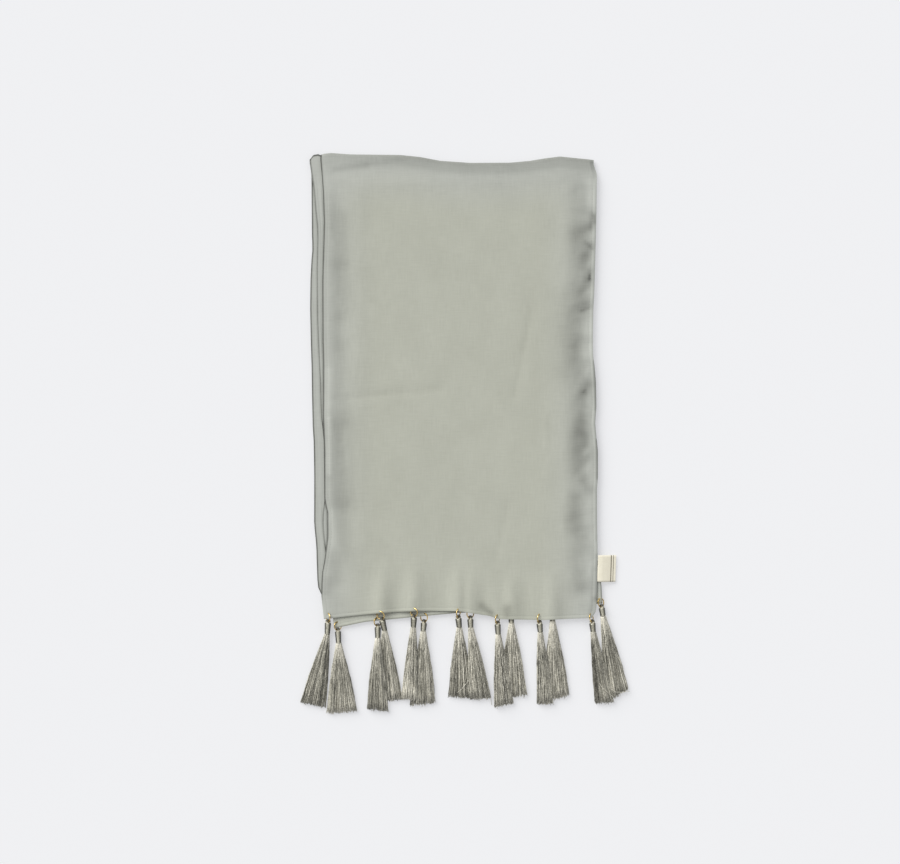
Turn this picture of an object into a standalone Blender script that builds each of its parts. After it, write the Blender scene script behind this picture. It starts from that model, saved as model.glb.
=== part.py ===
"""Silk scarf with tasselled hems, folded in four and laid flat.

The scarf is one long rectangle of cloth. It is folded end to end and then once more, so that four
layers lie on each other with both hems at the near end. Each hem carries seven tassels on brass rings.
X runs across the scarf, Y along it towards the outer fold, Z up from the surface that it lies on.
The tables and sizes are in millimetres, and MM turns them to metres where a mesh is made.
"""

import bmesh
import bpy
from collections import namedtuple
from math import cos, exp, pi, radians, sin
from mathutils import Matrix, Vector

MM = 0.001

# Driving dimensions
CLOTH = 1.0
SEAM_GAP = 0.3
SCARF_WIDTH = 274.0
RING_OUTER = 9.4
RING_WIRE = 1.1
NECK_WIDTH = 5.6
LABEL_REACH = 18.6
LOCK_COLUMNS = 7
LOCK_GAP = 0.3
FLOOR_GAP = 0.35

# Heights of the four layers, from the one that lies on the surface to the one on top
BACK_TOP = 2 * CLOTH + SEAM_GAP
SECOND_TOP = BACK_TOP + SEAM_GAP + CLOTH
FRONT_TOP = SECOND_TOP + SEAM_GAP + CLOTH

# The outer fold: how far the roll of each layer reaches inwards, its crown, and the lip that turns under
FRONT_ROLL = 4.5
FRONT_CROWN = 6.4
SECOND_ROLL = 2.5
SECOND_CROWN = SECOND_TOP + 0.5
SECOND_FOOT = CLOTH + SEAM_GAP
SECOND_INSET = 2.2
FRONT_LIP = 3.0
SECOND_LIP = 2.5
CREASE_BLEND = 22.0

# Outlines, as seen from above
EdgePoint = namedtuple("EdgePoint", "along across")
FRONT_LEFT = [EdgePoint(*p) for p in (
    (-187, -141), (-162, -142.5), (-144, -142), (-102, -137.1), (-78, -137.1), (3, -139),
    (68, -141), (163, -142), (217, -140.3), (239, -141.2), (278, -143))]
FRONT_RIGHT = [EdgePoint(*p) for p in (
    (-184.7, 127), (-174, 131.6), (-122, 133.2), (-51, 131.3), (-26, 133), (7, 130.6),
    (99, 127.7), (190, 130.6), (264, 132.3), (272.5, 128.8))]
SECOND_LEFT = [EdgePoint(*p) for p in (
    (-194.5, -131), (-108, -140), (-17, -141), (57, -144.6), (133, -147.8), (174, -147.9),
    (201, -146.6), (239, -150), (275, -155))]
SECOND_RIGHT = [EdgePoint(*p) for p in (
    (-171, 138.2), (-152, 137.5), (-122, 134.5), (-22, 133.4), (43, 131.7), (133, 127.5), (268, 128))]
BACK_LEFT = [EdgePoint(*p) for p in (
    (-162, -143), (-138, -147.4), (-84, -150.3), (-27, -150.5), (19, -152), (68, -152.8),
    (135, -154.4), (184.5, -151.9), (217, -152.8), (265, -153.6))]
HemPoint = namedtuple("HemPoint", "across along")
FRONT_FOLD = [HemPoint(*p) for p in (
    (-155, 276), (-143, 278), (-134, 279.5), (-115, 278.5), (-65, 277.5), (-45, 275.5), (-25, 272),
    (5, 270), (45, 270), (65, 272), (80, 274.5), (95, 276.5), (129, 272.5))]
FRONT_HEM = [HemPoint(*p) for p in (
    (-140, -186), (-85, -180), (-50, -178), (-7, -178), (25, -183), (33, -186), (76, -187), (125, -185))]
SECOND_HEM = [HemPoint(*p) for p in (
    (-129, -195), (-100, -189), (-50, -184), (-7, -180), (15, -179), (46, -176.5), (87, -174),
    (138, -170.5))]
MIDDLE_FOLD = -163.0
FOLD_CORNER = 1.0

# Soft folds of the top layer: a run from one point to another, half its width, and how far it rises
Crease = namedtuple("Crease", "x0 y0 x1 y1 half_width rise")
FRONT_CREASES = [Crease(*c) for c in (
    (-127, 245, -124, 133, 7, -0.55), (-124, 133, -122, 33, 7, -0.5), (-122, 20, -123, -75, 9, -0.55),
    (-123, -75, -128, -150, 8, -0.35), (-134, 240, -133, -90, 5, 0.35), (-107, 235, -104, -110, 9, 0.5),
    (116, 250, 117, -137, 8, -0.5), (102, 240, 103, -120, 8, 0.45), (127, 250, 129, -130, 4, 0.3),
    (-127, 262, -35, 273, 6, -0.4), (-120, 250, 90, 255, 9, 0.5), (-130, 35, -25, 44, 6, -0.25),
    (66, 123, 49, 38, 7, -0.25), (76, 38, 76, -37, 6, -0.2), (42, -72, 30, -127, 7, -0.25))]
FRONT_LOFT = 0.6
PUCKER_LINE = 118.0
PUCKER_REACH = 9.0
PUCKER_RISE = 0.4
PUCKER_PITCHES = (31.0, 19.0)

# The label: its two short edges, and how its upper face droops as it reaches out from the cloth
LABEL_NEAR = -149.0
LABEL_FAR = -122.3
DroopPoint = namedtuple("DroopPoint", "reach height")
LABEL_DROOP = [DroopPoint(*p) for p in (
    (0.0, 5.2), (4.5, 5.1), (9.5, 4.0), (14.5, 2.6), (LABEL_REACH, 1.9))]

# Tassels, numbered from the left. The eye is where the ring passes through the loop, lean turns the ring
# in plan, tilt lifts its right side, and lift is how far the ring raises the hem of the top layer there.
Tassel = namedtuple("Tassel", "eye_x eye_y lean tilt lift neck_x neck_y left_x left_y right_x right_y")
TASSELS = [Tassel(*t) for t in (
    (-137.0, -188.5, 0, 60, 0.6, -137.8, -201.5, -164.0, -269.0, -140.0, -274.0),
    (-127.2, -197.2, 0, -35, 0.0, -126.4, -210.5, -137.7, -280.0, -108.5, -278.0),
    (-83.0, -186.1, 20, 32, 3.0, -80.4, -197.5, -77.8, -266.5, -63.0, -266.0),
    (-87.4, -193.0, 0, -35, 0.0, -87.2, -205.5, -97.9, -275.4, -77.4, -277.5),
    (-51.0, -183.3, 0, 35, 3.0, -51.6, -194.0, -63.2, -265.0, -47.2, -267.0),
    (-41.0, -188.8, 0, 35, 0.0, -41.8, -198.5, -46.7, -270.0, -30.5, -270.0),
    (-6.7, -184.0, 0, -35, 3.0, -5.7, -194.5, -16.5, -263.5, 7.3, -265.5),
    (5.3, -185.0, 0, -35, 2.6, 5.7, -195.0, 7.9, -265.5, 25.7, -265.0),
    (32.5, -190.0, 0, -60, 0.9, 33.2, -201.5, 29.5, -273.5, 47.3, -270.5),
    (46.0, -179.8, 0, -35, 2.6, 46.5, -190.5, 48.0, -266.0, 62.0, -262.0),
    (74.4, -189.3, 0, -60, 0.6, 75.4, -199.5, 72.4, -270.5, 87.7, -269.5),
    (87.0, -177.0, 0, -35, 2.6, 87.6, -188.0, 88.3, -268.0, 104.0, -263.0),
    (127.2, -188.8, 12, -55, 0.8, 128.2, -199.0, 130.5, -269.5, 147.6, -268.7),
    (136.5, -173.6, 8, -45, 0.0, 138.2, -183.5, 148.3, -267.5, 163.5, -255.7))]
SECOND_HEM_LIFT = 0.2
CORNER_LIFT = 0.5
LIFT_HALF_WIDTH = 9.0
LIFT_STEP = 7.0
LIFT_START = 36.0
LIFT_FULL = 18.0
EDGE_STEPS = (0, 4.5, 10, 17, 26)
NEAREST_COLUMNS = 3.8
WIDEST_COLUMNS = 18.0
HEM_OVERHANG = 3.0

# The head of a tassel along its own line, measured from the eye: a loop, a waist, then the wound neck
HeadRing = namedtuple("HeadRing", "along half_width half_height")
HEAD_RINGS = [HeadRing(*r) for r in (
    (-1.9, 1.0, 0.8), (-1.0, 2.1, 1.7), (0.6, 2.4, 1.9), (1.7, 1.6, 1.5), (2.2, 2.7, 2.7))]
HEAD_FLAT = 0.4
EYE_DROP = 0.8
NECK_HEIGHT = 3.3
FRONT_NECK_RISE = 0.3
LOCK_STATIONS = (0.32, 1.0)
LOCK_TIP_HALF = 0.85
LOCK_ROOT_HALF = 1.15
ROOT_INSET = 0.09
FAN_BELLY = 0.5
FALL_POWER = 2.2
RAGGED = 0.01


def material(name, colour, roughness, metallic=0.0):
    """A plain finish: colour, roughness and metallic value."""
    made = bpy.data.materials.new(name)
    made.use_nodes = True
    shader = made.node_tree.nodes["Principled BSDF"]
    shader.inputs["Base Color"].default_value = (*colour, 1.0)
    shader.inputs["Roughness"].default_value = roughness
    shader.inputs["Metallic"].default_value = metallic
    return made


def new_object(name, build, collection, finish=None):
    """An object from a bmesh whose points are in millimetres."""
    bmesh.ops.scale(build, vec=(MM, MM, MM), verts=build.verts)
    mesh = bpy.data.meshes.new(name)
    build.to_mesh(mesh)
    build.free()
    made = bpy.data.objects.new(name, mesh)
    collection.objects.link(made)
    if finish:
        mesh.materials.append(finish)
    return made


def between(points, at):
    """The value at a place along a short table of (place, value) pairs, straight between its rows."""
    if at <= points[0][0]:
        return points[0][1]
    for low, high in zip(points, points[1:]):
        if at <= high[0]:
            return low[1] + (high[1] - low[1]) * (at - low[0]) / (high[0] - low[0])
    return points[-1][1]


def mix(low, high, share):
    return low + (high - low) * share


def smooth(share):
    share = min(max(share, 0.0), 1.0)
    return share * share * (3 - 2 * share)


def fold_line(x):
    """The outermost line of the outer fold, where the top layer turns under."""
    return between(FRONT_FOLD, x)


def crease_rise(crease, x, y):
    """A soft ridge or trough about a straight run."""
    run = Vector((crease.x1 - crease.x0, crease.y1 - crease.y0))
    away = Vector((x - crease.x0, y - crease.y0))
    share = min(max(away.dot(run) / run.dot(run), 0.0), 1.0)
    distance = (away - run * share).length
    return crease.rise * exp(-(distance / crease.half_width) ** 2)


def hem_lift(x, y):
    """How far the rings under the hem of the top layer raise it."""
    rise = smooth((LIFT_START - (y - between(FRONT_HEM, x))) / (LIFT_START - LIFT_FULL))
    bumps = (t.lift * exp(-((x - t.eye_x) / LIFT_HALF_WIDTH) ** 2) for t in TASSELS)
    return rise * sum(bump ** 4 for bump in bumps) ** 0.25


def front_height(x, y):
    """The upper face of the top layer."""
    rise = FRONT_LOFT + sum(crease_rise(crease, x, y) for crease in FRONT_CREASES)
    wave = sin(2 * pi * y / PUCKER_PITCHES[0]) + 0.6 * sin(2 * pi * y / PUCKER_PITCHES[1] + 1)
    rise += PUCKER_RISE * wave * exp(-((x - PUCKER_LINE) / PUCKER_REACH) ** 2)
    height = FRONT_TOP + max(rise, 0.05)
    near_fold = smooth(1 - (fold_line(x) - FRONT_ROLL - y) / CREASE_BLEND)
    return mix(height + hem_lift(x, y), FRONT_CROWN, near_fold)


def second_height(x, y):
    """The upper face of the second layer."""
    near_fold = smooth(1 - (fold_line(x) - SECOND_INSET - SECOND_ROLL - y) / (CREASE_BLEND / 2))
    near_hem = smooth(1 - (y - between(SECOND_HEM, x)) / LIFT_START)
    corner = CORNER_LIFT * exp(-((x - TASSELS[-1].eye_x) / LIFT_HALF_WIDTH) ** 2)
    height = SECOND_TOP + (SECOND_HEM_LIFT + corner) * near_hem
    return mix(height, SECOND_CROWN, near_fold)


def layer(name, columns, rows, place, collection, finish):
    """A layer of cloth: a grid laid by place(column, row), with a wall below it."""
    build = bmesh.new()
    across = len(columns) - 1
    along = len(rows) - 1
    bmesh.ops.create_grid(build, x_segments=across, y_segments=along, size=0.5)
    for vertex in build.verts:
        column = columns[round((vertex.co.x + 0.5) * across)]
        row = rows[round((vertex.co.y + 0.5) * along)]
        vertex.co = place(column, row)
    made = new_object(name, build, collection, finish)
    wall = made.modifiers.new("wall", "SOLIDIFY")
    wall.thickness = CLOTH * MM
    wall.offset = -1
    wall.use_even_offset = True
    return made


def rolled_layer(share, row, left, right, hem, line, roll, crown, foot, lip, height):
    """A point of a layer: flat from row 0 to 1, round the fold to 2, and turned under to 3."""
    nominal = mix(between(hem, 0), line(0), min(row, 1.0))
    x = mix(between(left, nominal), between(right, nominal), share)
    start = line(x) - roll
    if row <= 1:
        y = mix(between(hem, x), start, row)
        return Vector((x, y, height(x, y)))
    if row <= 2:
        turn = (row - 1) * pi
        middle = (crown + foot) / 2
        return Vector((x, start + roll * sin(turn), middle + (crown - foot) / 2 * cos(turn)))
    return Vector((x, start - lip * (row - 2), foot))


def even(count, low=0.0, high=1.0):
    """Evenly spaced values, ends included."""
    return [low + (high - low) * index / (count - 1) for index in range(count)]


def spaced(stops, nearest, widest):
    """The stops, without those closer than nearest and with more where the gap is above widest."""
    kept = [stops[0]]
    for stop in stops[1:-1]:
        if stop - kept[-1] >= nearest and stops[-1] - stop >= nearest:
            gap = stop - kept[-1]
            extra = int(gap / widest)
            kept += [kept[-1] + gap * (index + 1) / (extra + 1) for index in range(extra)]
            kept.append(stop)
    return kept + [stops[-1]]


def front_panel(collection, finish):
    """The top layer, from its hem to the fold, where it rolls round to the underside."""
    low = FRONT_HEM[0].across
    high = FRONT_RIGHT[0].across + HEM_OVERHANG
    stops = [low + step for step in EDGE_STEPS] + [high - step for step in EDGE_STEPS]
    for tassel_row in TASSELS:
        if tassel_row.lift > 1:
            stops += [tassel_row.eye_x - LIFT_STEP, tassel_row.eye_x, tassel_row.eye_x + LIFT_STEP]
    stops = spaced(sorted(stops), NEAREST_COLUMNS, WIDEST_COLUMNS)
    columns = [(stop - low) / (high - low) for stop in stops]
    rows = even(4, 0, 0.035) + even(33, 0.06, 1) + even(4, 1.25, 2) + [3]

    def place(share, row):
        return rolled_layer(share, row, FRONT_LEFT, FRONT_RIGHT, FRONT_HEM, fold_line, FRONT_ROLL,
                            FRONT_CROWN, 0.0, FRONT_LIP, front_height)

    return layer("front_panel", columns, rows, place, collection, finish)


def second_panel(collection, finish):
    """The second layer, nested in the first."""
    columns = [0, 0.03, 0.08] + even(10, 0.16, 0.88) + [0.96, 1]
    rows = even(3, 0, 0.04) + even(8, 0.12, 1) + even(4, 1.25, 2) + [3]

    def line(x):
        return fold_line(x) - SECOND_INSET

    def place(share, row):
        return rolled_layer(share, row, SECOND_LEFT, SECOND_RIGHT, SECOND_HEM, line, SECOND_ROLL,
                            SECOND_CROWN, SECOND_FOOT, SECOND_LIP, second_height)

    return layer("second_panel", columns, rows, place, collection, finish)


def folded_layers(collection, finish):
    """The two back layers as one solid, parted by a groove at the sides and joined by a fold."""
    head = FRONT_ROLL + FRONT_LIP + 2 * SEAM_GAP
    far_left = BACK_LEFT[-1].across
    far_right = far_left + SCARF_WIDTH
    inner = [point.across for point in FRONT_FOLD if far_left < point.across < far_right]
    stops = [far_left] + inner + [far_right]
    left = [(point.across, point.along, "side") for point in BACK_LEFT[:-1]]
    right = [(point.across + SCARF_WIDTH, point.along, "side") for point in reversed(BACK_LEFT[:-1])]
    far = [(x, fold_line(x) - head, "side") for x in stops]
    near_left = BACK_LEFT[0].across + FOLD_CORNER
    near_right = BACK_LEFT[0].across + SCARF_WIDTH - FOLD_CORNER
    near = [(mix(near_right, near_left, share), MIDDLE_FOLD, "fold") for share in even(5)]
    outline = left + far + right + near
    outline.reverse()

    # Height, and how far the edge draws in there: at a side each layer is rounded and a groove parts
    # them, and at the fold the two are one round nose
    lower = CLOTH
    upper = CLOTH + SEAM_GAP
    levels = [
        (0.0, 0.5, 0.9), (lower / 2, 0.0, 0.25), (lower, 0.5, 0.0), (lower + SEAM_GAP / 2, 3.0, 0.0),
        (upper, 0.9, 0.0), (upper + CLOTH / 2, 0.4, 0.25), (BACK_TOP, 0.9, 0.9)]
    build = bmesh.new()
    rings = []
    count = len(outline)
    for height, side_inset, fold_inset in levels:
        ring = []
        for index, (x, y, kind) in enumerate(outline):
            before = Vector(outline[index - 1][:2])
            after = Vector(outline[(index + 1) % count][:2])
            run = (after - before).normalized()
            inset = side_inset if kind == "side" else fold_inset
            ring.append(build.verts.new((x - run.y * inset, y + run.x * inset, height)))
        rings.append(ring)
    build.faces.new(list(reversed(rings[0])))
    build.faces.new(rings[-1])
    for low, high in zip(rings, rings[1:]):
        for index in range(count):
            following = (index + 1) % count
            build.faces.new((low[index], low[following], high[following], high[index]))
    return new_object("folded_layers", build, collection, finish)


def label(collection, finish):
    """A tape folded double and sewn into the right-hand edge, drooping from the cloth to the surface."""
    def place(reach, share):
        y = mix(LABEL_NEAR, LABEL_FAR, share)
        x = between(FRONT_RIGHT, y) + SEAM_GAP + reach
        return Vector((x, y, between(LABEL_DROOP, reach)))

    return layer("label", [station.reach for station in LABEL_DROOP], even(4), place, collection, finish)


def ring_frame(tassel, on_front):
    """Where a ring stands: its matrix in millimetres, from the tassel's eye to the hole in the hem."""
    radius = (RING_OUTER - RING_WIRE) / 2
    lean = radians(tassel.lean)
    hole = Vector((tassel.eye_x - 2 * radius * sin(lean), tassel.eye_y + 2 * radius * cos(lean)))
    height = front_height(*hole) if on_front else second_height(*hole)
    hole_height = height - CLOTH / 2
    eye_height = hole_height - (EYE_DROP if on_front else 0.0)
    eye = Vector((tassel.eye_x, tassel.eye_y, eye_height))
    to_hole = (Vector((hole.x, hole.y, hole_height)) - eye).normalized()
    level = Vector((to_hole.y, -to_hole.x, 0)).normalized()
    up = level.cross(to_hole)
    side = level * cos(radians(tassel.tilt)) + up * sin(radians(tassel.tilt))
    axis = to_hole.cross(side)
    middle = eye + to_hole * radius
    turned = Matrix((to_hole, side, axis)).transposed().to_4x4()
    return Matrix.Translation(middle) @ turned, eye


def torus(name, wire, frame, collection, finish=None):
    """A ring of round wire, standing in the given frame."""
    radius = (RING_OUTER - RING_WIRE) / 2
    bpy.ops.mesh.primitive_torus_add(
        major_segments=12, minor_segments=5, major_radius=radius * MM, minor_radius=wire / 2 * MM)
    made = bpy.context.object
    made.name = name
    made.data.name = name
    for owner in list(made.users_collection):
        owner.objects.unlink(made)
    collection.objects.link(made)
    frame = frame.copy()
    frame.translation *= MM
    made.matrix_world = frame
    if finish:
        made.data.materials.append(finish)
    return made


def tassel_frame(eye, tassel, neck_height):
    """The frame of a head, its origin in the eye and its Y back along the tassel, and the neck's end."""
    neck = Vector((tassel.neck_x, tassel.neck_y, neck_height))
    back = (eye - neck).normalized()
    level = back.cross(Vector((0, 0, 1))).normalized()
    up = level.cross(back)
    turned = Matrix((level, back, up)).transposed().to_4x4()
    return Matrix.Translation(eye) @ turned, neck, (eye - neck).length


def head(build, length):
    """The loop and the wound neck, extruded section by section. Returns the cells that locks grow from."""
    turn = 1 - 4 / LOCK_COLUMNS
    flat = HEAD_FLAT
    section = (
        (-1, -flat), (-turn, -1), (turn, -1), (1, -flat), (1, flat), (turn, 1), (-turn, 1), (-1, flat))
    half = NECK_WIDTH / 2
    stations = HEAD_RINGS + [HeadRing(length, half, half)]
    last = stations[0]
    start = bmesh.ops.create_circle(build, cap_ends=True, segments=len(section), radius=1)["verts"]
    for vertex, (across, up) in zip(start, section):
        vertex.co = (across * last.half_width, -last.along, up * last.half_height)
    face = start[0].link_faces[0]
    end_cap = face
    for station in stations[1:]:
        moved = bmesh.ops.extrude_face_region(build, geom=[face])["geom"]
        if face is not end_cap:
            build.faces.remove(face)
        for vertex in (item for item in moved if isinstance(item, bmesh.types.BMVert)):
            vertex.co.x *= station.half_width / last.half_width
            vertex.co.z *= station.half_height / last.half_height
            vertex.co.y = -station.along
        face = next(item for item in moved if isinstance(item, bmesh.types.BMFace))
        last = station

    def end_faces():
        return [item for item in build.faces if all(abs(v.co.y + length) < 1e-4 for v in item.verts)]

    borders = [mix(-half, half, column / LOCK_COLUMNS) for column in range(1, LOCK_COLUMNS)]
    cuts = [((border, 0, 0), (1, 0, 0)) for border in borders] + [((0, 0, 0), (0, 0, 1))]
    for place, normal in cuts:
        cells = end_faces()
        edges = {edge for cell in cells for edge in cell.edges}
        verts = {vertex for cell in cells for vertex in cell.verts}
        whole = cells + list(edges) + list(verts)
        bmesh.ops.bisect_plane(build, geom=whole, dist=0.001, plane_co=place, plane_no=normal)
    cells = end_faces()
    bmesh.ops.inset_individual(build, faces=cells, thickness=ROOT_INSET, use_even_offset=True)
    return cells


def lock_centre(tassel, neck, column, row, reach):
    """The middle of a lock's section at a share of its length, and its half width and height."""
    half = NECK_WIDTH / 2
    down = Vector((tassel.neck_x - tassel.eye_x, tassel.neck_y - tassel.eye_y)).normalized()
    level = Vector((-down.y, down.x))
    base = Vector((tassel.neck_x, tassel.neck_y))
    belly = level * FAN_BELLY * sin(pi * min(reach, 1.0))
    left = (base - level * half).lerp(Vector((tassel.left_x, tassel.left_y)), reach) - belly
    right = (base + level * half).lerp(Vector((tassel.right_x, tassel.right_y)), reach) + belly
    centre = left.lerp(right, (column + 0.5) / LOCK_COLUMNS)
    fall = 1 - (1 - min(reach, 1.0)) ** FALL_POWER
    thick = mix(LOCK_ROOT_HALF, LOCK_TIP_HALF, fall)
    root_height = neck.z + (row - 0.5) * half
    tip_height = FLOOR_GAP + LOCK_TIP_HALF + row * (2 * LOCK_TIP_HALF + LOCK_GAP)
    across = (right - left).normalized()
    width = (right - left).length / LOCK_COLUMNS / 2 - LOCK_GAP / 2
    return Vector((*centre, mix(root_height, tip_height, fall))), Vector((*across, 0)) * width, thick


def tassel(number, row, eye, collection, finish, clearance):
    """One tassel as one body: loop, neck, and a skirt of locks that stand apart from their roots on."""
    on_front = number % 2 == 1
    frame, neck, length = tassel_frame(eye, row, NECK_HEIGHT + (FRONT_NECK_RISE if on_front else 0.0))
    build = bmesh.new()
    cells = head(build, length)
    half = NECK_WIDTH / 2
    roots = []
    for cell in cells:
        middle = cell.calc_center_median()
        column = int((middle.x / half + 1) / 2 * LOCK_COLUMNS)
        tier = 1 if middle.z > 0 else 0
        signs = [(1 if v.co.x > middle.x else -1, 1 if v.co.z > middle.z else -1) for v in cell.verts]
        roots.append((cell, column, tier, signs))
    build.transform(frame)
    for cell, column, tier, signs in roots:
        wobble = sin(2.4 * column + 1.7 * tier + 0.9 * number) * RAGGED
        for reach in LOCK_STATIONS:
            end = reach + (wobble if reach == 1.0 else 0.0)
            centre, across, thick = lock_centre(row, neck, column, tier, end)
            cell = bmesh.ops.extrude_discrete_faces(build, faces=[cell])["faces"][0]
            for vertex, (side, up) in zip(cell.verts, signs):
                vertex.co = centre + across * side + Vector((0, 0, thick * up))
    bmesh.ops.recalc_face_normals(build, faces=build.faces)
    made = new_object(f"tassel_{number:02d}", build, collection, finish)
    bore = made.modifiers.new("eye", "BOOLEAN")
    bore.operation = "DIFFERENCE"
    bore.solver = "EXACT"
    bore.object = clearance
    return made


def cut_holes(cloth, clearances):
    """The holes that the rings pass through, each one the ring's own shape with room round it."""
    holes = cloth.modifiers.new("ring_holes", "BOOLEAN")
    holes.operation = "DIFFERENCE"
    holes.solver = "EXACT"
    holes.operand_type = "COLLECTION"
    holes.collection = clearances


def new_collection(name):
    made = bpy.data.collections.new(name)
    bpy.context.scene.collection.children.link(made)
    return made


def build_scarf():
    for old in list(bpy.data.objects):
        bpy.data.objects.remove(old, do_unlink=True)
    scarf = new_collection("silk_scarf")
    front_clearances = new_collection("front_clearances")
    second_clearances = new_collection("second_clearances")
    silk = material("silk", (0.44, 0.45, 0.39), 0.55)
    thread = material("tassel_thread", (0.40, 0.38, 0.31), 0.5)
    brass = material("brass", (0.62, 0.40, 0.10), 0.25, 1.0)
    tape = material("label_tape", (0.85, 0.79, 0.66), 0.7)

    front = front_panel(scarf, silk)
    second = second_panel(scarf, silk)
    folded_layers(scarf, silk)
    label(scarf, tape)
    for index, row in enumerate(TASSELS):
        number = index + 1
        on_front = number % 2 == 1
        clearances = front_clearances if on_front else second_clearances
        frame, eye = ring_frame(row, on_front)
        torus(f"ring_{number:02d}", RING_WIRE, frame, scarf, brass)
        room = torus(f"clearance_{number:02d}", RING_WIRE + 2 * SEAM_GAP, frame, clearances)
        room.hide_render = True
        room.display_type = "WIRE"
        tassel(number, row, eye, scarf, thread, room)
    cut_holes(front, front_clearances)
    cut_holes(second, second_clearances)


build_scarf()
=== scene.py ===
"""Dresses the folded silk scarf: thin cloth with its creases, hems, label, rings and thread tassels.

X runs across the scarf, Y from the tassels towards the outer fold, Z up from the surface it lies on.
Tables and sizes are in millimetres, and MM turns them to metres where a mesh is made.
"""
from collections import namedtuple
from math import cos, exp, pi, radians, sin, sqrt
from random import Random

import bmesh
import bpy
from mathutils import Matrix, Vector


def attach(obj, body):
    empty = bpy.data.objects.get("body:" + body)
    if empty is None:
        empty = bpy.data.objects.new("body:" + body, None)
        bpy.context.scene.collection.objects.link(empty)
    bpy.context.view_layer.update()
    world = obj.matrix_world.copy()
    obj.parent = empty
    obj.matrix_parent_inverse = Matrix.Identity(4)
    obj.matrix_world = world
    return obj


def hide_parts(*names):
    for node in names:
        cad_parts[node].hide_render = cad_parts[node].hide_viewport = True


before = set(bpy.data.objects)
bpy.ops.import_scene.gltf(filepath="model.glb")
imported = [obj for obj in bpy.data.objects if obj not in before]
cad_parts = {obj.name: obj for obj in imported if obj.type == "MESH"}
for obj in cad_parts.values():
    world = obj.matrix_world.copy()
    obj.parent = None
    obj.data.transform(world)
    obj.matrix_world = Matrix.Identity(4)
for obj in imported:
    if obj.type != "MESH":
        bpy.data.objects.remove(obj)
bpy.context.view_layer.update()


# The camera hangs straight above the scarf, as over a garment laid out on a table.
# It is far off behind a long lens, so the sides of the folded stack barely show.
lens = bpy.data.cameras.new("overhead_camera")
lens.sensor_width = 36
lens.lens = 120
camera = bpy.data.objects.new("overhead_camera", lens)
camera.location = (-0.015, 0.001, 3.005)
bpy.context.scene.collection.objects.link(camera)
bpy.context.scene.camera = camera
bpy.context.scene.view_settings.view_transform = "Standard"


# The surface is a pale table that glows a little from within, as a photographer's lit table does. The
# light comes softly from the upper left and leaves a faint shadow to the right of and below the scarf.
CARD_REACH = 4
CARD_DROP = 0.0002
build = bmesh.new()
bmesh.ops.create_grid(build, x_segments=1, y_segments=1, size=CARD_REACH)
bmesh.ops.translate(build, verts=build.verts, vec=(0, 0, -CARD_DROP))
card_mesh = bpy.data.meshes.new("card")
build.to_mesh(card_mesh)
build.free()
card = bpy.data.objects.new("card", card_mesh)
bpy.context.scene.collection.objects.link(card)
card_finish = bpy.data.materials.new("card")
card_finish.use_nodes = True
card_shader = card_finish.node_tree.nodes["Principled BSDF"]
card_shader.inputs["Base Color"].default_value = (0.40, 0.40, 0.40, 1)
card_shader.inputs["Roughness"].default_value = 1.0
card_shader.inputs["Specular IOR Level"].default_value = 0.0
card_shader.inputs["Emission Color"].default_value = (0.97, 0.975, 1.0, 1)
card_shader.inputs["Emission Strength"].default_value = 0.465
card_mesh.materials.append(card_finish)

lamp_data = bpy.data.lights.new("soft_lamp", "SUN")
lamp_data.angle = 0.85
lamp_data.energy = 3.02
lamp = bpy.data.objects.new("soft_lamp", lamp_data)
lamp.location = (-1.0, 1.1, 0.96)
lamp.rotation_euler = (-lamp.location).to_track_quat("-Z", "Y").to_euler()
bpy.context.scene.collection.objects.link(lamp)
room = bpy.data.worlds.new("pale_room")
room.use_nodes = True
room.node_tree.nodes["Background"].inputs["Color"].default_value = (0.96, 0.97, 1.0, 1)
room.node_tree.nodes["Background"].inputs["Strength"].default_value = 0.55
bpy.context.scene.world = room


# The silk is a fine plain weave of slightly uneven yarn, grey-green with a soft sheen. The layer "tone"
# holds light and shade painted into its colour: darker bands painted where the cloth sinks, painted shade
# along its edges, on the fold and under the layers above, and painted light along its hems and lower layers.
class Wire:
    """A node's output that takes part in Python sums, each of which adds a Math node."""

    def __init__(self, finish, output):
        self.finish = finish
        self.output = output

    def math(self, operation, first, second):
        return self.finish.node("ShaderNodeMath", {"operation": operation}, {0: first, 1: second})

    def __add__(self, other):
        return self.math("ADD", self, other)

    def __radd__(self, other):
        return self.math("ADD", other, self)

    def __sub__(self, other):
        return self.math("SUBTRACT", self, other)

    def __mul__(self, other):
        return self.math("MULTIPLY", self, other)


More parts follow.
